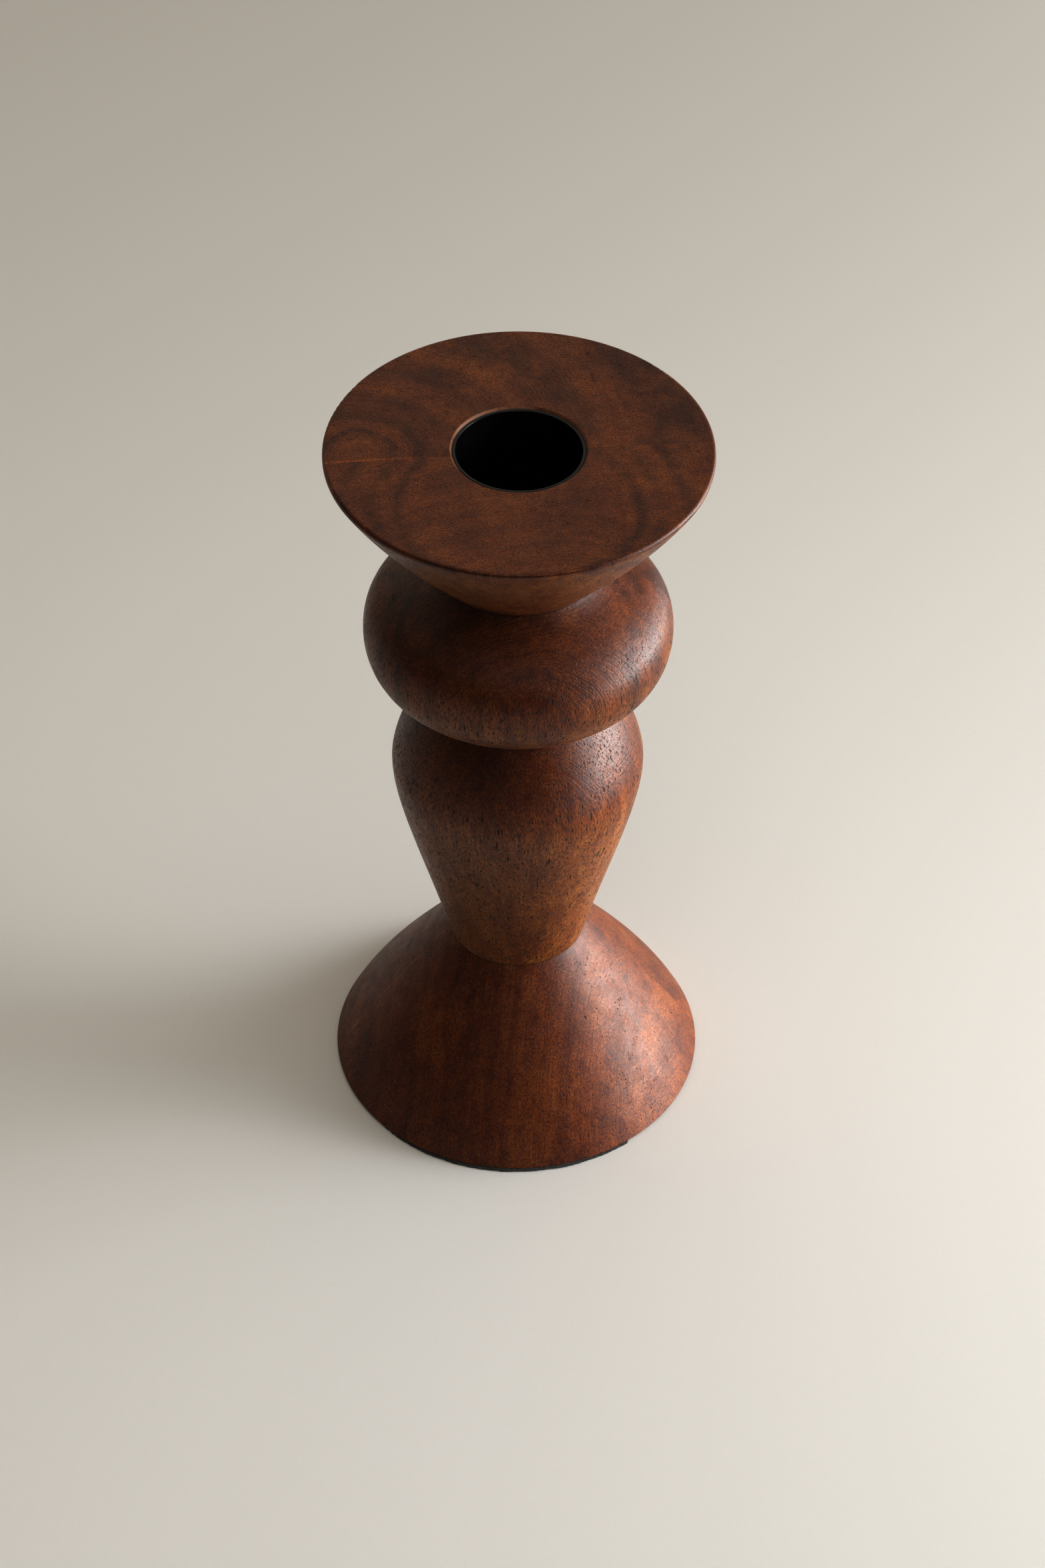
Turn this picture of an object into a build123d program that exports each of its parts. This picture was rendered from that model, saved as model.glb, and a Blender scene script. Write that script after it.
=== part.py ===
"""Turned wooden candlestick, in millimetres.

Four turned sections stand on one axis: a bell-shaped foot, a tapered vase, a round bead and a flat-topped dish.
Each section is two boards glued face to face, so it is a front half and a back half.
Hidden dowels join the sections. A steel cup lines the candle socket, and a felt pad covers the underside.

The frame: +Z is up along the turning axis and the origin is where that axis meets the felt's underside.
The boards meet in one plane, parallel to XZ. The front boards are on the -Y side.
"""

import os

from build123d import *

# Heights of the sections, from the felt's underside up.
FELT_THICKNESS = 0.5
FOOT_HEIGHT = 33.6
VASE_HEIGHT = 63.9
BEAD_HEIGHT = 26.9
DISH_HEIGHT = 26.0

FOOT_BOTTOM = FELT_THICKNESS
FOOT_TOP = FOOT_BOTTOM + FOOT_HEIGHT
VASE_TOP = FOOT_TOP + VASE_HEIGHT
BEAD_TOP = VASE_TOP + BEAD_HEIGHT
DISH_TOP = BEAD_TOP + DISH_HEIGHT

# Necks, where each section meets the next in a sharp crease.
FOOT_NECK_RADIUS = 13.3
VASE_NECK_RADIUS = 12.2
BEAD_NECK_RADIUS = 15.3

# Foot: a cone that swells most near its rim.
FOOT_RADIUS = 36.2
FOOT_SWELL_LOW = 2.25
FOOT_SWELL_HIGH = 0.15
FOOT_EDGE_ROUND = 0.2

# Vase: a sloping shoulder above the belly, and a long soft taper below it.
VASE_RADIUS = 23.8
VASE_BELLY = FOOT_TOP + 43.4
VASE_SHOULDER_FULLNESS = 0.33
VASE_BELLY_DROP = 8.0
VASE_TAPER_SHARE = 0.4

# Bead: a full round up to its girdle, then a shoulder that turns up into a coved neck.
BEAD_RADIUS = 28.6
BEAD_GIRDLE = VASE_TOP + 11.8
BEAD_FULLNESS_LOW = 0.65
BEAD_SHOULDER_RISE = 10.1
BEAD_COVE_REACH = 3.7
BEAD_COVE_DROP = 4.0

# Dish: a flat top on a cone that swells most near its rim.
DISH_RADIUS = 35.0
DISH_SWELL_LOW = 0.6
DISH_SWELL_HIGH = 1.45
DISH_RIM_HEIGHT = 1.05
DISH_TOP_ROUND = 0.6
DISH_LOWER_ROUND = 0.25

# Candle cup: drawn steel, pressed into the bore with its rim just below the wood.
CUP_RADIUS = 12.0
CUP_WALL = 0.65
CUP_RECESS = 0.3
CUP_CORNER_ROUND = 1.5
CUP_RIM_ROUND = 0.2
BORE_DEPTH = 20.0
BORE_CHAMFER = 0.4

# Dowels: fluted pins in drilled holes, with a little room beyond each end.
DOWEL_RADIUS = 6.0
DOWEL_CHAMFER = 1.0
DOWEL_END_GAP = 1.0
FLUTE_RADIUS = 0.45
FLUTE_COUNT = 12
FOOT_HOLE_DEPTH = 20.0
VASE_HOLE_DEPTH = 22.0
DISH_HOLE_DEPTH = 4.6

# Felt pad, cut smaller than the foot and stuck on a little forward, so that its edge comes nearest the rim there.
FELT_RADIUS = 34.1
FELT_FORWARD = 1.9

# The boards meet just in front of the turning axis.
GLUE_PLANE = Plane.XZ.offset(1.0)
HALVES = {"front": Keep.TOP, "back": Keep.BOTTOM}

os.makedirs("parts", exist_ok=True)


def write(part, name):
    """Label a finished piece and write it as one STEP file."""
    part.label = name
    export_step(part, f"parts/{name}.step")


def write_halves(section, name):
    """Cut a turned section where its boards meet, and write its front and back halves."""
    for side, keep in HALVES.items():
        with BuildPart() as half:
            add(section)
            split(bisect_by=GLUE_PLANE, keep=keep)
        write(half.part, f"{name}_{side}_half")


def swollen_line(bottom, top, swell_low, swell_high):
    """A line from a bottom point to a top point that swells away from the turning axis."""
    chord = top - bottom
    outward = Vector(chord.Y, -chord.X).normalized()
    low = bottom + chord / 3 + outward * swell_low
    high = bottom + chord * 2 / 3 + outward * swell_high
    Bezier(bottom, low, high, top)


def quarter_round(neck, girdle, fullness):
    """A curve that leaves a neck level and meets the girdle upright. Fullness 0.55 is a quarter ellipse."""
    near_neck = neck + Vector(girdle.X - neck.X, 0) * fullness
    near_girdle = girdle + Vector(0, neck.Y - girdle.Y) * fullness
    Bezier(neck, near_neck, near_girdle, girdle)


def circles_at(piece, radius, height):
    """The circular edges of a turned piece that have one radius and height."""
    level = piece.edges().filter_by(GeomType.CIRCLE).filter_by_position(Axis.Z, height - 0.01, height + 0.01)
    return level.filter_by(lambda edge: abs(edge.radius - radius) < 0.01)


def hole_up(height, depth):
    """Drill a dowel hole upwards into the piece's bottom face."""
    with Locations(Plane.XY.offset(height).rotated((180, 0, 0))):
        Hole(DOWEL_RADIUS, depth=depth)


def hole_down(height, depth):
    """Drill a dowel hole downwards into the piece's top face."""
    with Locations((0, 0, height)):
        Hole(DOWEL_RADIUS, depth=depth)


def foot():
    with BuildPart() as piece:
        with BuildSketch(Plane.XZ):
            with BuildLine():
                neck = Vector(FOOT_NECK_RADIUS, FOOT_TOP)
                rim = Vector(FOOT_RADIUS, FOOT_BOTTOM)
                Polyline(rim, (0, FOOT_BOTTOM), (0, FOOT_TOP), neck)
                swollen_line(rim, neck, FOOT_SWELL_LOW, FOOT_SWELL_HIGH)
            make_face()
        revolve(axis=Axis.Z)
        fillet(circles_at(piece, FOOT_RADIUS, FOOT_BOTTOM), FOOT_EDGE_ROUND)
        hole_down(FOOT_TOP, FOOT_HOLE_DEPTH)
    return piece.part


def vase():
    with BuildPart() as piece:
        with BuildSketch(Plane.XZ):
            with BuildLine():
                lower_neck = Vector(FOOT_NECK_RADIUS, FOOT_TOP)
                upper_neck = Vector(VASE_NECK_RADIUS, VASE_TOP)
                belly = Vector(VASE_RADIUS, VASE_BELLY)
                taper = lower_neck + (belly - lower_neck) * VASE_TAPER_SHARE
                under_belly = belly - Vector(0, VASE_BELLY_DROP)
                Polyline(lower_neck, (0, FOOT_TOP), (0, VASE_TOP), upper_neck)
                Bezier(lower_neck, taper, under_belly, belly)
                quarter_round(upper_neck, belly, VASE_SHOULDER_FULLNESS)
            make_face()
        revolve(axis=Axis.Z)
        hole_up(FOOT_TOP, VASE_HOLE_DEPTH)
        hole_down(VASE_TOP, VASE_HOLE_DEPTH)
    return piece.part


def bead():
    with BuildPart() as piece:
        with BuildSketch(Plane.XZ):
            with BuildLine():
                lower_neck = Vector(VASE_NECK_RADIUS, VASE_TOP)
                upper_neck = Vector(BEAD_NECK_RADIUS, BEAD_TOP)
                girdle = Vector(BEAD_RADIUS, BEAD_GIRDLE)
                Polyline(lower_neck, (0, VASE_TOP), (0, BEAD_TOP), upper_neck)
                quarter_round(lower_neck, girdle, BEAD_FULLNESS_LOW)
                cove = upper_neck + Vector(BEAD_COVE_REACH, -BEAD_COVE_DROP)
                shoulder = girdle + Vector(0, BEAD_SHOULDER_RISE)
                Bezier(upper_neck, cove, shoulder, girdle)
            make_face()
        revolve(axis=Axis.Z)
        hole_down(BEAD_TOP, BEAD_HEIGHT)
    return piece.part


def dish():
    rim_bottom = DISH_TOP - DISH_RIM_HEIGHT
    with BuildPart() as piece:
        with BuildSketch(Plane.XZ):
            with BuildLine():
                neck = Vector(BEAD_NECK_RADIUS, BEAD_TOP)
                rim = Vector(DISH_RADIUS, rim_bottom)
                Polyline(rim, (DISH_RADIUS, DISH_TOP), (0, DISH_TOP), (0, BEAD_TOP), neck)
                swollen_line(neck, rim, DISH_SWELL_LOW, DISH_SWELL_HIGH)
            make_face()
        revolve(axis=Axis.Z)
        fillet(circles_at(piece, DISH_RADIUS, DISH_TOP), DISH_TOP_ROUND)
        fillet(circles_at(piece, DISH_RADIUS, rim_bottom), DISH_LOWER_ROUND)
        with Locations((0, 0, DISH_TOP)):
            Hole(CUP_RADIUS, depth=BORE_DEPTH)
        chamfer(circles_at(piece, CUP_RADIUS, DISH_TOP), BORE_CHAMFER)
        hole_up(BEAD_TOP, DISH_HOLE_DEPTH)
    return piece.part


def dowel(bottom, top):
    """A fluted pin with chamfered ends, cut to sit between two hole bottoms."""
    end_radius = DOWEL_RADIUS - DOWEL_CHAMFER
    low = bottom + DOWEL_END_GAP
    high = top - DOWEL_END_GAP
    with BuildPart() as pin:
        with BuildSketch(Plane.XZ):
            with BuildLine():
                Polyline((0, low), (end_radius, low), (DOWEL_RADIUS, low + DOWEL_CHAMFER))
                Line((DOWEL_RADIUS, low + DOWEL_CHAMFER), (DOWEL_RADIUS, high - DOWEL_CHAMFER))
                Polyline((DOWEL_RADIUS, high - DOWEL_CHAMFER), (end_radius, high), (0, high), (0, low))
            make_face()
        revolve(axis=Axis.Z)
        with BuildSketch(Plane.XY.offset(low)):
            with PolarLocations(DOWEL_RADIUS, FLUTE_COUNT):
                Circle(FLUTE_RADIUS)
        extrude(amount=high - low, mode=Mode.SUBTRACT)
    return pin.part


def candle_cup():
    floor = DISH_TOP - BORE_DEPTH
    rim = DISH_TOP - CUP_RECESS
    with BuildPart() as cup:
        with BuildSketch(Plane.XY.offset(floor)):
            Circle(CUP_RADIUS)
        extrude(amount=rim - floor)
        fillet(circles_at(cup, CUP_RADIUS, floor), CUP_CORNER_ROUND)
        offset(amount=-CUP_WALL, openings=cup.faces().sort_by(Axis.Z)[-1])
        fillet(cup.faces().sort_by(Axis.Z)[-1].edges(), CUP_RIM_ROUND)
    return cup.part


def felt_pad():
    with BuildPart() as pad:
        with BuildSketch():
            with Locations((0, -FELT_FORWARD)):
                Circle(FELT_RADIUS)
        extrude(amount=FELT_THICKNESS)
    return pad.part


write_halves(foot(), "foot")
write_halves(vase(), "vase")
write_halves(bead(), "bead")
write_halves(dish(), "dish")
write(dowel(FOOT_TOP - FOOT_HOLE_DEPTH, FOOT_TOP + VASE_HOLE_DEPTH), "foot_dowel")
write(dowel(VASE_TOP - VASE_HOLE_DEPTH, BEAD_TOP + DISH_HOLE_DEPTH), "neck_dowel")
write(candle_cup(), "candle_cup")
write(felt_pad(), "felt_pad")
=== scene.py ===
import math

import bmesh
import bpy
from mathutils import Matrix, Vector, noise


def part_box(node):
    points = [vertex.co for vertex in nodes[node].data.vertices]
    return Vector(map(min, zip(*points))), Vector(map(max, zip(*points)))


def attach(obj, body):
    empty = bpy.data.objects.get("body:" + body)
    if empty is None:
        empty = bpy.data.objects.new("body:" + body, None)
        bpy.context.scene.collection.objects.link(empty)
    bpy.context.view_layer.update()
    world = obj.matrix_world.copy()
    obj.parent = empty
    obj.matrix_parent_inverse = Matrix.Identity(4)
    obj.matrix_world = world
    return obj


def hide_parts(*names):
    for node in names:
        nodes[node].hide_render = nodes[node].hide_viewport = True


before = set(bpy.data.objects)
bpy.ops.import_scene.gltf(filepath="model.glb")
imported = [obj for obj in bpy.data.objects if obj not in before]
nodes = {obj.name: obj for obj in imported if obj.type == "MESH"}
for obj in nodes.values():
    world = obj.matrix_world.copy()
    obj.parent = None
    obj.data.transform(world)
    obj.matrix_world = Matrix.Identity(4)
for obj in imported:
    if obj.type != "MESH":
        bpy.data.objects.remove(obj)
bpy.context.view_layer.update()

scene = bpy.context.scene
MM = 0.001

# The camera looks across the boards at a slight angle. In "turned" places, X is the camera's right and
# Y is away from it.
TURN = math.radians(-5.96)
turn = Matrix.Rotation(TURN, 3, "Z")

# Heights of the turned sections' top faces, in mm.
foot_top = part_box("foot_front_half")[1].z / MM
vase_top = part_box("vase_front_half")[1].z / MM
bead_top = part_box("bead_front_half")[1].z / MM
dish_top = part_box("dish_front_half")[1].z / MM


# ---- Node graphs ----


class Graph:
    """The node tree of a material or a world. Its methods take sockets or values, and return sockets."""

    def __init__(self, owner):
        self.owner = owner
        owner.use_nodes = True
        self.tree = owner.node_tree
        self.tree.nodes.clear()

    def node(self, kind, inputs=None, **settings):
        made = self.tree.nodes.new(kind)
        for key, value in settings.items():
            setattr(made, key, value)
        for key, value in (inputs or {}).items():
            self.feed(made.inputs[key], value)
        return made

    def feed(self, socket, value):
        """Link an output socket to an input, or set the input's own value."""
        if isinstance(value, bpy.types.NodeSocket):
            self.tree.links.new(value, socket)
        else:
            socket.default_value = value

    def math(self, operation, a, b=0.0, clamp=False):
        return self.node("ShaderNodeMath", {0: a, 1: b}, operation=operation, use_clamp=clamp).outputs[0]

    def vector(self, operation, a, b=(0, 0, 0)):
        return self.node("ShaderNodeVectorMath", {0: a, 1: b}, operation=operation).outputs["Vector"]

    def length(self, vector):
        return self.node("ShaderNodeVectorMath", {0: vector}, operation="LENGTH").outputs["Value"]

    def separate(self, vector):
        return self.node("ShaderNodeSeparateXYZ", {0: vector}).outputs

    def noise(self, place, scale=1.0, detail=2.0, roughness=0.5):
        inputs = {"Vector": place, "Scale": scale, "Detail": detail, "Roughness": roughness}
        return self.node("ShaderNodeTexNoise", inputs).outputs["Fac"]

    def noise_color(self, place):
        return self.node("ShaderNodeTexNoise", {"Vector": place, "Scale": 1.0}).outputs["Color"]

    def noise_line(self, w, scale=1.0, detail=2.0, roughness=0.5):
        inputs = {"W": w, "Scale": scale, "Detail": detail, "Roughness": roughness}
        return self.node("ShaderNodeTexNoise", inputs, noise_dimensions="1D").outputs["Fac"]

    def cells(self, place):
        """Distances from scattered points, and two random numbers for each point."""
        made = self.node("ShaderNodeTexVoronoi", {"Vector": place, "Scale": 1.0})
        first, second, _ = self.node("ShaderNodeSeparateColor", {0: made.outputs["Color"]}).outputs
        return made.outputs["Distance"], first, second

    def smooth(self, value, low, high, to_low=0.0, to_high=1.0):
        inputs = {"Value": value, "From Min": low, "From Max": high, "To Min": to_low, "To Max": to_high}
        return self.node("ShaderNodeMapRange", inputs, interpolation_type="SMOOTHSTEP").outputs["Result"]

    def ramp(self, value, stops, interpolation="LINEAR"):
        """A ramp through (place, shade) stops. A shade is a colour, or one number for a grey."""
        made = self.node("ShaderNodeValToRGB", {"Fac": value})
        ramp = made.color_ramp
        ramp.interpolation = interpolation
        while len(ramp.elements) < len(stops):
            ramp.elements.new(0.5)
        for element, (place, shade) in zip(ramp.elements, stops):
            element.position = place
            element.color = (*shade, 1) if isinstance(shade, tuple) else (shade, shade, shade, 1)
        return made.outputs["Color"]

    def mix(self, share, a, b, blend="MIX"):
        made = self.node("ShaderNodeMix", data_type="RGBA", blend_type=blend)
        for index, value in ((0, share), (6, a), (7, b)):
            self.feed(made.inputs[index], (*value, 1) if isinstance(value, tuple) else value)
        return made.outputs[2]

    def tint(self, share, shade, color):
        """Multiply a colour by a shade, as strongly as the share says."""
        return self.mix(share, color, self.mix(1.0, color, shade, "MULTIPLY"))

    def bump(self, height, depth, normal=None):
        inputs = {"Height": height, "Distance": depth, "Strength": 1.0}
        if normal is not None:
            inputs["Normal"] = normal
        return self.node("ShaderNodeBump", inputs).outputs["Normal"]

    def surface(self, **sockets):
        """Finish a material: the keywords are the shader's inputs."""
        shader = self.node("ShaderNodeBsdfPrincipled", {k.replace("_", " "): v for k, v in sockets.items()})
        self.node("ShaderNodeOutputMaterial", {"Surface": shader.outputs[0]})
        return self.owner


def new_graph(name):
    return Graph(bpy.data.materials.new(name))


def place_mm(graph):
    """The object's own coordinates, in millimetres."""
    coordinates = graph.node("ShaderNodeTexCoord").outputs["Object"]
    return graph.vector("MULTIPLY", coordinates, (1 / MM,) * 3)


def stretched(graph, place, across, along):
    """Coordinates for a texture whose detail is this many millimetres across the grain and along it."""
    return graph.vector("MULTIPLY", place, (1 / across, 1 / across, 1 / along))


def dust(graph, place, spacing, share, radius):
    """Sparse round specks, 0 or 1. The share is how many of the cells hold one."""
    distance, chance, _ = graph.cells(stretched(graph, place, spacing, spacing))
    near = graph.smooth(distance, radius / spacing, 0.5 * radius / spacing)
    return graph.math("MULTIPLY", graph.math("LESS_THAN", chance, share), near)


def use(obj, material):
    obj.data.materials.clear()
    obj.data.materials.append(material)


# ---- Wood ----

RED_BROWN = (0.185, 0.0440, 0.0088)
BROWN = (0.250, 0.0660, 0.0120)
GOLDEN = (0.325, 0.1010, 0.0190)
VESSEL = (0.014, 0.0045, 0.0025)
# Bare wood for the cut rings, which are laid on stronger at the left as painted light.
BARE_AND_LIT = (0.36, 0.165, 0.08)
PALE_DUST = (0.45, 0.36, 0.30)
AMBER_FLECK = (0.50, 0.24, 0.07)

# What each layer multiplies the colour by.
BAND_SHADE = (0.42, 0.33, 0.38)
YEAR_SHADE = (0.66, 0.56, 0.58)
LINE_SHADE = (0.66, 0.56, 0.54)
STREAK_SHADE = (0.66, 0.55, 0.56)
FIBRE_SHADE = (0.58, 0.48, 0.46)
GRIT_SHADE = (0.42, 0.34, 0.32)
# Painted shade on upward-sloping shoulders.
SHOULDER_PAINTED_SHADE = (0.42, 0.34, 0.34)
# Painted shade in the turned grooves and at the joints between sections.
CREASE_PAINTED_SHADE = (0.16, 0.10, 0.08)
# Painted golden light on downward faces, standing in for light off the floor.
UNDERSIDE_PAINTED_LIGHT = (1.20, 1.62, 1.55)
# Painted light on the right side, which faces the lamps.
RIGHT_PAINTED_LIGHT = (1.6, 1.65, 1.6)
SANDED_TINT = (2.4, 2.6, 2.3)

# The glue joint is this far in front of the turning axis, in mm.
GLUE_FORWARD = 1.0
# A board's bands run from its pith, at 0, to this many mm away, at 1.
BAND_REACH = 72.0
SPECK_RADIUS = 0.13

# Each board: where its pith and the centre of its yearly layers pass, in mm, its dark bands as
# (place, strength), how strongly its edge at the glue joint was sanded pale, and where its noises start.
BOARDS = {
    "front": {
        "pith": (-1.6, -15.6),
        "layers": (4, -75),
        "bands": [(0.0, 0.25), (0.20, 0.25), (0.275, 0.1), (0.299, 0.95), (0.325, 0.15), (0.354, 0.75),
                  (0.38, 0.1), (0.405, 0.15), (0.422, 0.9), (0.445, 0.1), (0.60, 0.7), (0.75, 0.2)],
        "sanded": 0.15,
        "seed": 0.0,
    },
    "back": {
        "pith": (-29.3, 1.5),
        "layers": (-29.3, 1.5),
        "bands": [(0.0, 0.2), (0.075, 0.1), (0.09, 0.9), (0.11, 0.2), (0.165, 0.85), (0.19, 0.15),
                  (0.23, 0.7), (0.27, 0.1), (0.36, 0.8), (0.44, 0.1), (0.54, 0.9), (0.64, 0.1),
                  (0.80, 1.0), (0.90, 0.3)],
        "sanded": 0.9,
        "seed": 41.0,
    },
}

# Each section, from the bottom up. The strengths are of its bands (figure), yearly layers, small mottling,
# painted light on the right side, painted shade on the shoulders, painted golden light on the underside
# and ridged grain. "vessels" adds to how crowded the vessels are, and "rough" to the roughness. "layers"
# is a centre of its own for the yearly layers. A ring of painted shade at a joint or groove is (height,
# half width, strength). A cut is a ring of bare wood, made stronger at the left by painted light: (radius,
# half width, lowest height, strength). Lengths are in mm.
SECTIONS = {
    "foot": {
        "top": foot_top, "layers": (160, -70), "figure": 0.40, "years": 0.75, "mottled": 0.25, "right_light": 0.85,
        "shoulder": 0.26, "under": 0.3, "ridges": 0.35, "vessels": -0.04, "rough": 0.08,
        "painted_creases": [(foot_top, 0.25, 0.5)],
        "cuts_and_painted_light": [],
    },
    "vase": {
        "top": vase_top, "figure": 0.6, "years": 0.35, "mottled": 0.45, "right_light": 0.8,
        "shoulder": 0.50, "under": 0.85, "ridges": 0.8, "vessels": 0.27, "rough": 0.0,
        "painted_creases": [(foot_top, 0.20, 0.5), (vase_top, 0.3, 0.5)],
        "cuts_and_painted_light": [],
    },
    "bead": {
        "top": bead_top, "figure": 1.0, "years": 0.6, "mottled": 0.45, "right_light": 0.3,
        "shoulder": 0.30, "under": 0.9, "ridges": 1.3, "vessels": 0.14, "rough": 0.0,
        "painted_creases": [(vase_top, 0.3, 0.5), (bead_top, 0.25, 0.5), (bead_top - 0.3, 1.2, 0.25)],
        "cuts_and_painted_light": [(20.3, 0.08, bead_top - 9, 0.06)],
    },
    "dish": {
        "top": dish_top, "figure": 1.0, "years": 0.55, "mottled": 0.45, "right_light": 0.0,
        "shoulder": 0.0, "under": 0.8, "ridges": 0.8, "vessels": -0.02, "rough": 0.02,
        "painted_creases": [(bead_top, 0.3, 0.6), (bead_top + 0.4, 1.8, 0.35), (dish_top - 0.42, 0.16, 0.85)],
        "cuts_and_painted_light": [(12.2, 0.22, dish_top - 0.45, 0.9)],
    },
}


class Wood(Graph):
    """Oiled reddish hardwood with its grain along Z, for one board of one section. Lengths are in mm.

    The methods that take a colour lay one more thing over it, and return the new colour.
    """

    def __init__(self, name, board, section, seed):
        super().__init__(bpy.data.materials.new(name))
        self.board, self.section, self.seed = board, section, seed
        self.here = place_mm(self)
        self.place = self.vector("ADD", self.here, seed)
        self.x, self.y, self.z = self.separate(self.here)
        self.facing_up = self.separate(self.node("ShaderNodeTexCoord").outputs["Normal"])[2]
        sloping = self.smooth(self.facing_up, 0.995, 0.93)
        self.shoulder = self.math("MULTIPLY", self.smooth(self.facing_up, 0.05, 0.45), sloping)
        self.patch = self.grain(10, 26, 3.0, 0.55)
        self.fibre = self.grain(0.30, 3.0, 3.0, 0.65)
        self.worn = self.grain(5, 5, 3.0, 0.6)
        self.grow_layers()
        self.open_vessels()

    def grain(self, across, along, detail, roughness):
        """Noise that is this many mm across the grain and along it."""
        return self.noise(stretched(self, self.place, across, along), 1.0, detail, roughness)

    def wave(self, across, along, reach):
        """A shift of up to half the reach to either side, which bends the growth layers."""
        shift = self.noise_color(stretched(self, self.place, across, along))
        return self.vector("MULTIPLY", self.vector("SUBTRACT", shift, (0.5, 0.5, 0.5)), (reach, reach, 0))

    def grow_layers(self):
        """Broad dark bands round the pith, and yearly layers and fine lines round a centre of their own."""
        bent = self.vector("ADD", self.here, self.wave(19, 70, 7))
        bent = self.vector("ADD", bent, self.wave(3.6, 18, 1.2))

        def distance_from(line):
            return self.length(self.vector("MULTIPLY", self.vector("SUBTRACT", bent, (*line, 0)), (1, 1, 0)))

        radius = distance_from(self.board["pith"])
        depth = distance_from(self.section.get("layers", self.board["layers"]))
        band = self.ramp(self.math("DIVIDE", radius, BAND_REACH), self.board["bands"], "CARDINAL")
        self.broken = self.smooth(self.grain(6, 30, 3.0, 0.55), 0.32, 0.60, 0.25, 1.0)
        self.band = self.math("MULTIPLY", band, self.broken)
        self.year = self.noise_line(self.math("ADD", depth, self.seed[2]), 0.35, 1.0)
        self.line = self.noise_line(self.math("ADD", depth, self.seed[0]), 3.2, 2.0, 0.6)

    def pores(self, spacing, length, radius, share):
        """Vessels that run along Z: dashes on upright faces and dots on end grain."""
        distance, chance, size = self.cells(stretched(self, self.place, spacing, length))
        reach = self.node("ShaderNodeMath", {0: size, 1: 0.6, 2: 0.55}, operation="MULTIPLY_ADD").outputs[0]
        reach = self.math("MULTIPLY", reach, radius / spacing)
        depth = self.math("SUBTRACT", 1.0, self.math("DIVIDE", distance, reach), clamp=True)
        return self.math("MULTIPLY", self.smooth(depth, 0.0, 0.55), self.math("LESS_THAN", chance, share))

    def open_vessels(self):
        """Large and small vessels: crowded in some layers, sparse on shoulders, sanded shut at the rim."""
        crowd = self.math("ADD", self.grain(7, 20, 2.0, 0.5), self.math("MULTIPLY", self.year, 0.3))
        crowd = self.math("SUBTRACT", crowd, self.math("MULTIPLY", self.shoulder, 0.26))
        crowd = self.math("ADD", crowd, self.smooth(self.facing_up, 0.30, -0.10, 0.0, 0.12))
        crowd = self.math("ADD", crowd, self.section["vessels"])
        large = self.pores(1.05, 6.5, 0.27, self.smooth(crowd, 0.47, 0.80, 0.04, 0.95))
        small = self.pores(0.40, 1.4, 0.165, self.smooth(crowd, 0.38, 0.66, 0.15, 1.0))
        vessel = self.math("MAXIMUM", large, self.math("MULTIPLY", small, 0.9))
        near_top = self.smooth(self.z, self.section["top"] - 2.0, self.section["top"] - 1.2)
        rim = self.math("MULTIPLY", near_top, self.smooth(self.facing_up, 0.97, 0.90))
        still_open = self.math("SUBTRACT", 1.0, self.math("MULTIPLY", rim, 0.95))
        self.vessel = self.math("MULTIPLY", vessel, still_open)

    def board_color(self):
        """Golden to red-brown patches."""
        mottled = self.section["mottled"]
        mottle = self.math("MULTIPLY", self.grain(1.7, 4.5, 4.0, 0.65), mottled)
        tone = self.math("ADD", self.math("MULTIPLY", self.patch, 1 - mottled), mottle)
        return self.ramp(self.smooth(tone, 0.32, 0.66), [(0.0, RED_BROWN), (0.5, BROWN), (1.0, GOLDEN)])

    def figure(self, color):
        """The growth layers and the fibres between them."""
        color = self.tint(self.math("MULTIPLY", self.band, self.section["figure"]), BAND_SHADE, color)
        partly = self.smooth(self.broken, 0.25, 1.0, 0.55, 1.0)
        year = self.math("MULTIPLY", self.smooth(self.year, 0.40, 0.65, 0.0, self.section["years"]), partly)
        color = self.tint(year, YEAR_SHADE, color)
        faded = self.smooth(self.grain(5, 14, 2.0, 0.5), 0.35, 0.62, 0.15, 1.0)
        line = self.math("MULTIPLY", self.smooth(self.line, 0.42, 0.66, 0.0, 0.85), faded)
        color = self.tint(line, LINE_SHADE, color)
        streak = self.smooth(self.grain(2.4, 50, 3.0, 0.6), 0.46, 0.66, 0.0, 0.8)
        streak = self.math("MULTIPLY", streak, self.smooth(self.facing_up, 0.95, 0.80))
        color = self.tint(streak, STREAK_SHADE, color)
        color = self.tint(self.smooth(self.fibre, 0.42, 0.66, 0.0, 0.9), FIBRE_SHADE, color)
        return self.tint(self.smooth(self.grain(0.30, 0.8, 4.0, 0.7), 0.38, 0.64), GRIT_SHADE, color)

    def painted_light_and_shade(self, color):
        """Painted shade on shoulders, painted golden light on undersides and painted light on the right side.
        """
        # Painted shade on the upward-sloping shoulders.
        color = self.tint(self.math("MULTIPLY", self.shoulder, self.section["shoulder"]), SHOULDER_PAINTED_SHADE, color)
        # Painted golden light on the downward faces.
        wander = self.math("MULTIPLY", self.math("SUBTRACT", self.patch, 0.5), 0.5)
        under = self.math("ADD", self.facing_up, wander)
        color = self.tint(self.smooth(under, 0.38, -0.38, 0.0, self.section["under"]), UNDERSIDE_PAINTED_LIGHT, color)
        # Painted light: the right side, which faces the lamps, is painted lighter.
        rightward = self.math("ADD", self.x, self.math("MULTIPLY", self.patch, 10.0))
        return self.tint(self.smooth(rightward, 5.0, 27.0, 0.0, self.section["right_light"]), RIGHT_PAINTED_LIGHT, color)

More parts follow.
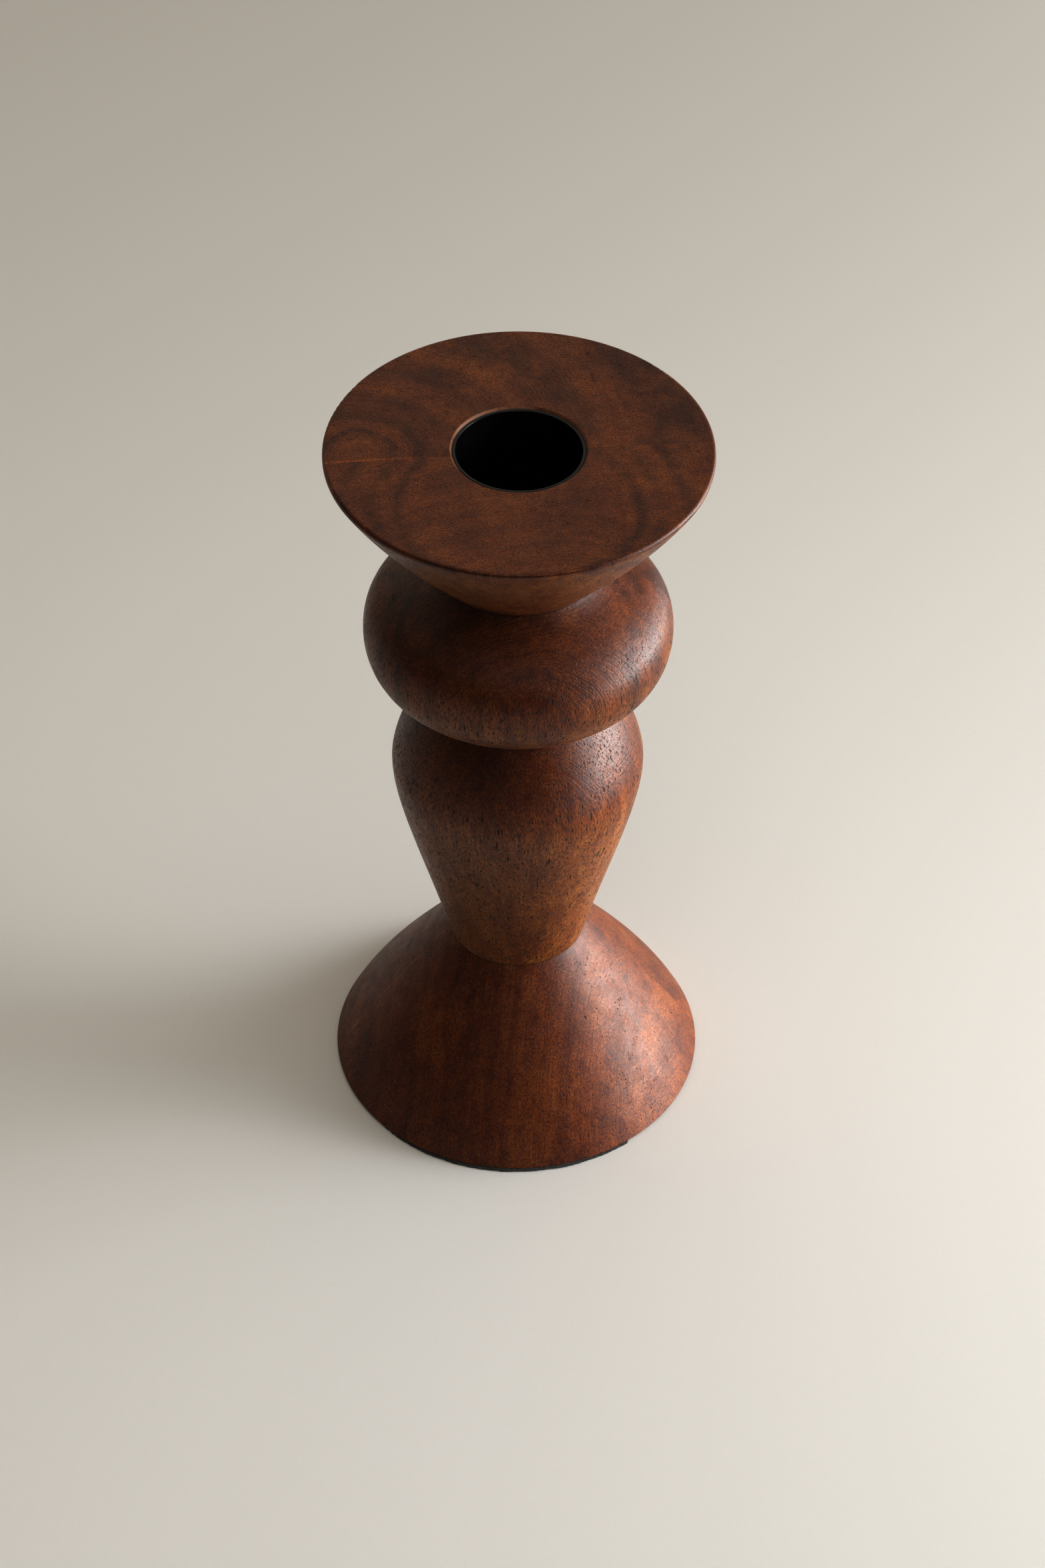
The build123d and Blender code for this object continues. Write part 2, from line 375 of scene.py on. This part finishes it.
    def glue_joint(self, color):
        """A hairline, with a worn strip of paler, sanded board beside it, stronger at the left."""
        gap = self.math("ABSOLUTE", self.math("ADD", self.y, GLUE_FORWARD))
        left = self.smooth(self.x, 6.0, -6.0, 0.25, 1.0)
        strip = self.smooth(self.worn, 0.36, 0.56, 0.15, 1.0)
        strip = self.math("MULTIPLY", self.math("MULTIPLY", self.smooth(gap, 0.60, 0.12), strip), left)
        color = self.tint(self.math("MULTIPLY", strip, self.board["sanded"]), SANDED_TINT, color)
        return self.mix(self.smooth(gap, 0.12, 0.02, 0.0, 0.6), color, VESSEL)

    def painted_creases(self, color):
        """Painted shade in thin rings round the joints and grooves, with a ragged edge."""
        ragged = self.math("MULTIPLY", self.math("SUBTRACT", self.noise(self.place, 1.1, 4.0, 0.7), 0.5), 0.5)
        level = self.math("ADD", self.z, ragged)
        for height, half_width, strength in self.section["painted_creases"]:
            # Painted shade, darkest at each ring's height.
            away = self.math("ABSOLUTE", self.math("SUBTRACT", level, height))
            crease_shade = self.smooth(away, half_width, 0.2 * half_width, 0.0, strength)
            color = self.tint(crease_shade, CREASE_PAINTED_SHADE, color)
        return color

    def cuts_and_painted_light(self, color):
        """Bare wood cut as a mark or chamfer after the finish, made stronger at the left by painted light."""
        for radius, half_width, lowest, strength in self.section["cuts_and_painted_light"]:
            spin_radius = self.length(self.vector("MULTIPLY", self.here, (1, 1, 0)))
            away = self.math("ABSOLUTE", self.math("SUBTRACT", spin_radius, radius))
            ring = self.smooth(away, half_width, 0.7 * half_width)
            cut = self.math("MULTIPLY", ring, self.smooth(self.z, lowest, lowest + 0.1))
            cut = self.math("MULTIPLY", cut, self.smooth(self.worn, 0.36, 0.56, 0.15, strength))
            # Painted light: the ring is painted stronger at the left.
            cut = self.math("MULTIPLY", cut, self.smooth(self.x, 8.0, -8.0, 0.35, 1.0))
            color = self.mix(cut, color, BARE_AND_LIT)
        return color

    def specks(self, color):
        """Dust on the finish, and amber flecks in the wood."""
        speck = dust(self, self.here, 4.2, 0.22, SPECK_RADIUS)
        color = self.mix(self.math("MULTIPLY", speck, 0.6), color, PALE_DUST)
        fleck = dust(self, self.place, 0.9, 0.30, SPECK_RADIUS)
        return self.mix(self.math("MULTIPLY", fleck, 0.35), color, AMBER_FLECK)

    def color(self):
        color = self.painted_light_and_shade(self.figure(self.board_color()))
        shown = self.smooth(self.facing_up, 0.9, 0.3, 0.40, 0.95)
        color = self.mix(self.math("MULTIPLY", self.vessel, shown), color, VESSEL)
        return self.specks(self.cuts_and_painted_light(self.painted_creases(self.glue_joint(color))))

    def normal(self):
        """Open vessels, ridged grain, the lathe's fine rings and an uneven coat."""
        ridges = self.section["ridges"]
        normal = self.bump(self.math("MULTIPLY", self.vessel, -1.0), 0.03 * MM)
        ridged = self.math("ADD", self.line, self.math("MULTIPLY", self.fibre, 0.6))
        normal = self.bump(ridged, 0.045 * ridges * MM, normal)
        normal = self.bump(self.noise_line(self.z, 1.9, 3.0, 0.7), 0.035 * MM, normal)
        return self.bump(self.noise(self.place, 2.2, 4.0, 0.7), (0.02 + 0.03 * ridges) * MM, normal)

    def roughness(self):
        """Satin, and rougher in the open vessels."""
        satin = self.smooth(self.noise(self.place, 0.35, 3.0, 0.6), 0.3, 0.7, 0.32, 0.42)
        satin = self.math("ADD", satin, self.section["rough"])
        return self.math("ADD", satin, self.math("MULTIPLY", self.vessel, 0.4))

    def finished(self):
        return self.surface(
            Base_Color=self.color(), Roughness=self.roughness(), Normal=self.normal(), Specular_IOR_Level=0.42
        )


for index, (section_name, section) in enumerate(SECTIONS.items()):
    for side, board in BOARDS.items():
        name = f"{section_name}_{side}_half"
        seed = (13.7 * index + 3.1, 7.9 * index + board["seed"], 29.3 * index + 5.0)
        use(nodes[name], Wood(f"wood_{name}", board, section, seed).finished())


# ---- Cup, dowels and felt ----


def steel():
    g = new_graph("black_lacquered_steel")
    here = place_mm(g)
    speck = g.math("MULTIPLY", dust(g, here, 2.2, 0.25, 0.10), 0.6)
    color = g.mix(speck, (0.006, 0.006, 0.0065), (0.25, 0.24, 0.22))
    rough = g.smooth(g.noise(here, 0.5, 4.0, 0.6), 0.3, 0.7, 0.12, 0.24)
    normal = g.bump(g.noise(here, 3.0), 0.004 * MM)
    return g.surface(Base_Color=color, Roughness=rough, Normal=normal, Specular_IOR_Level=0.4)


def beech():
    g = new_graph("beech_dowel")
    grain = g.noise(stretched(g, place_mm(g), 0.4, 9.0), 1.0, 3.0)
    color = g.ramp(grain, [(0.3, (0.42, 0.27, 0.15)), (0.7, (0.62, 0.44, 0.27))])
    return g.surface(Base_Color=color, Roughness=0.7, Normal=g.bump(grain, 0.03 * MM))


def felt_cloth():
    g = new_graph("black_wool_felt")
    here = place_mm(g)
    fluff = g.noise(here, 3.5, 5.0, 0.7)
    color = g.ramp(fluff, [(0.3, (0.010, 0.010, 0.009)), (0.7, (0.035, 0.034, 0.030))])
    lint = g.noise(stretched(g, here, 0.12, 0.12), 1.0, 2.0, 0.6)
    color = g.mix(g.smooth(lint, 0.60, 0.75, 0.0, 0.6), color, (0.16, 0.155, 0.13))
    return g.surface(Base_Color=color, Roughness=0.95, Normal=g.bump(fluff, 0.2 * MM), Sheen_Weight=0.5)


use(nodes["candle_cup"], steel())
dowel_wood = beech()
for name in ("foot_dowel", "neck_dowel"):
    use(nodes[name], dowel_wood)

# The felt, in mm. Its edge stands proud between two bearings, in degrees to the right of the front.
FELT_RADIUS = 34.1
FELT_FORWARD = 1.9
PROUD_LEFT_END = -62
PROUD_LEFT_FADE = 26
PROUD_RIGHT_END = 38.5
PROUD_RIGHT_FADE = 1.2
PROUD_FRONT = 0.55
PROUD_SIDE_GAIN = 0.25
PROUD_SIDE = 38
FELT_POINTS_AROUND = 1800
# The felt's outline, from the middle of its underside round to the middle of its top:
# (share of its reach, share of its thickness).
FELT_OUTLINE = ((0.0, 0.0), (0.4, 0.0), (0.8, 0.0), (0.985, 0.0), (0.998, 0.2), (1.0, 0.5), (0.998, 0.75),
                (0.99, 1.0), (0.8, 1.0), (0.4, 1.0), (0.0, 1.0))


def between(value):
    """A value held between 0 and 1."""
    return min(1.0, max(0.0, value))


def ruffle(c, s, up, ripples, height):
    """An uneven edge for a bearing given by its cosine and sine. More ripples are finer."""
    return noise.noise(Vector((c * ripples, s * ripples, up))) * height


def felt_reach(angle, up):
    """How far the felt reaches from the turning axis. The angle is 0 at the front and grows to the right."""
    c, s = math.cos(angle), math.sin(angle)
    disc = FELT_FORWARD * c + math.sqrt(FELT_RADIUS**2 - (FELT_FORWARD * s) ** 2)
    degrees = math.degrees(angle)
    proud = PROUD_FRONT + PROUD_SIDE_GAIN * (degrees / PROUD_SIDE) ** 2
    proud *= between((degrees - PROUD_LEFT_END) / PROUD_LEFT_FADE)
    proud *= between((PROUD_RIGHT_END - degrees) / PROUD_RIGHT_FADE)
    wander = ruffle(c, s, 4.0, 9, 0.16)
    tufts = ruffle(c, s, up * 2.5, 60, 0.12)
    hairs = ruffle(c, s, up * 4, 160, 0.08)
    return disc + proud + wander + (tufts + hairs)


def felt_loop(mesh, share, height, up):
    """The points of one ring of the outline, or its middle point."""
    points = []
    for i in range(FELT_POINTS_AROUND if share else 1):
        angle = math.pi * (2 * i / FELT_POINTS_AROUND - 1)
        forward = turn @ Vector((math.sin(angle), -math.cos(angle), 0))
        reach = felt_reach(angle, up) * MM
        points.append(mesh.verts.new(forward * reach * share + Vector((0, 0, height))))
    return points


def felt_piece():
    """A disc cut by hand and stuck on a little forward. Its edge wanders and frays."""
    low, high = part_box("felt_pad")
    mesh = bmesh.new()
    loops = [felt_loop(mesh, share, low.z + (high.z - low.z) * up, up) for share, up in FELT_OUTLINE]
    for a, b in zip(loops, loops[1:]):
        for i in range(FELT_POINTS_AROUND):
            j = (i + 1) % FELT_POINTS_AROUND
            if len(a) == 1:
                mesh.faces.new((a[0], b[j], b[i]))
            elif len(b) == 1:
                mesh.faces.new((a[i], a[j], b[0]))
            else:
                mesh.faces.new((a[i], a[j], b[j], b[i]))
    bmesh.ops.recalc_face_normals(mesh, faces=mesh.faces)
    data = bpy.data.meshes.new("felt")
    mesh.to_mesh(data)
    piece = bpy.data.objects.new("felt_disc", data)
    scene.collection.objects.link(piece)
    use(piece, felt_cloth())
    return piece


felt = felt_piece()
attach(felt, "root")
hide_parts("felt_pad")

# ---- Camera ----

ELEVATION = math.radians(42.89)
ROLL = math.radians(0.335)
LENS = 96.15
SENSOR = 36
CAMERA_PLACE = (0.00095, -0.5850, 0.6131)

right = turn @ Vector((1, 0, 0))
ahead = turn @ Vector((0, math.cos(ELEVATION), -math.sin(ELEVATION)))
up = right.cross(ahead)
right, up = right + up * ROLL, up - right * ROLL
camera_data = bpy.data.cameras.new("camera")
camera_data.sensor_width = SENSOR
camera_data.lens = LENS
camera_data.clip_start = 0.01
camera_data.clip_end = 50
camera = bpy.data.objects.new("camera", camera_data)
scene.collection.objects.link(camera)
pose = Matrix((right.normalized(), up.normalized(), -ahead)).transposed().to_4x4()
pose.translation = turn @ Vector(CAMERA_PLACE)
camera.matrix_world = pose
scene.camera = camera

# ---- Floor and light ----


def paper():
    g = new_graph("floor")
    fleece = g.noise(place_mm(g), 1.2, 3.0, 0.6)
    color = g.ramp(fleece, [(0.3, (0.795, 0.787, 0.772)), (0.7, (0.805, 0.797, 0.782))])
    return g.surface(Base_Color=color, Roughness=0.85, Specular_IOR_Level=0.0)


FLOOR_SIZE = 12
bpy.ops.mesh.primitive_plane_add(size=FLOOR_SIZE, location=(0, 0, 0))
floor = bpy.context.object
floor.name = "floor"
use(floor, paper())


def sky_lobe(graph, toward, strength):
    """Soft light that comes from one side of the room, fading to nothing at right angles to it."""
    inputs = {0: graph.node("ShaderNodeTexCoord").outputs["Generated"], 1: turn @ Vector(toward)}
    facing = graph.node("ShaderNodeVectorMath", inputs, operation="DOT_PRODUCT").outputs["Value"]
    return graph.smooth(facing, 0.0, 1.0, 0.0, strength)


ROOM_GLOW = (1.0, 0.90, 0.74, 1)
CEILING_GLOW = 0.30
FAR_WALL_GLOW = 0.66

scene.world = bpy.data.worlds.new("world")
sky = Graph(scene.world)
glow = sky.math("ADD", sky_lobe(sky, (0, 0, 1), CEILING_GLOW), sky_lobe(sky, (0, 1, 0), FAR_WALL_GLOW))
background = sky.node("ShaderNodeBackground", {"Color": ROOM_GLOW, "Strength": glow})
sky.node("ShaderNodeOutputWorld", {"Surface": background.outputs[0]})


def area(name, place, target, size, power, color, spread=180):
    """A rectangular light at a turned place, facing a turned target."""
    data = bpy.data.lights.new(name, "AREA")
    data.shape = "RECTANGLE"
    data.size, data.size_y = size
    data.energy = power
    data.color = color
    data.spread = math.radians(spread)
    light = bpy.data.objects.new(name, data)
    light.location = turn @ Vector(place)
    light.rotation_mode = "QUATERNION"
    light.rotation_quaternion = (turn @ Vector(target) - light.location).to_track_quat("-Z", "Y")
    scene.collection.objects.link(light)


def bearing(azimuth, elevation, distance):
    """A place seen from the object: azimuth 90 is the camera's right and 180 is towards the camera."""
    a, e = math.radians(azimuth), math.radians(elevation)
    along_floor = math.cos(e) * distance
    return (math.sin(a) * along_floor, math.cos(a) * along_floor, math.sin(e) * distance)


WINDOW = (0.99, 0.99, 0.985)
BEAM = (0.92, 0.96, 1.0)
ROOM = (1.0, 0.97, 0.92)

ORIGIN = (0, 0, 0)
VASE_FOOT = (0, 0, 0.05)
VASE_MIDDLE = (0, 0, 0.08)
FLOOR_IN_FRONT = (0, -0.1, 0)
WINDOW_DISTANCE = 0.8
BEAM_DISTANCE = 1.0
BEAM_SPREAD = 45
WALL_DISTANCE = 1.5
CEILING_DISTANCE = 1.2
# Azimuth in degrees and power in watts of the lights that make up each opening at the right.
WINDOWS = ((50, 1.0), (65, 2.3), (80, 3.9), (95, 3.5), (110, 2.2))
PANES = ((72, 0.8), (90, 1.4))
BEAMS = ((75, 0.05), (90, 0.22), (105, 0.08))

# A low, wide window, weaker panes above it, and a narrow beam onto the floor in front.
for azimuth, power in WINDOWS:
    place = bearing(azimuth, 2.5, WINDOW_DISTANCE)
    area(f"window_{azimuth}", place, VASE_FOOT, (0.25, 0.12), power, WINDOW)
for azimuth, power in PANES:
    place = bearing(azimuth, 23, WINDOW_DISTANCE)
    area(f"pane_{azimuth}", place, VASE_MIDDLE, (0.2, 0.2), power, WINDOW)
for azimuth, power in BEAMS:
    place = bearing(azimuth, 30, BEAM_DISTANCE)
    area(f"beam_{azimuth}", place, FLOOR_IN_FRONT, (0.3, 0.3), power, BEAM, BEAM_SPREAD)
# The room's own soft light.
area("wall_far", bearing(60, 35, WALL_DISTANCE), VASE_FOOT, (0.8, 0.8), 0.6, ROOM)
area("wall_near", bearing(120, 35, WALL_DISTANCE), VASE_FOOT, (0.8, 0.8), 1.1, ROOM)
area("ceiling", bearing(170, 70, CEILING_DISTANCE), ORIGIN, (0.6, 0.6), 1.5, ROOM)
area("fill", bearing(180, 45, WALL_DISTANCE), ORIGIN, (1, 1), 0.35, ROOM)

# A gamma under 1 deepens the shadows.
scene.view_settings.view_transform = "Standard"
scene.view_settings.gamma = 0.77
scene.view_settings.exposure = 0.06
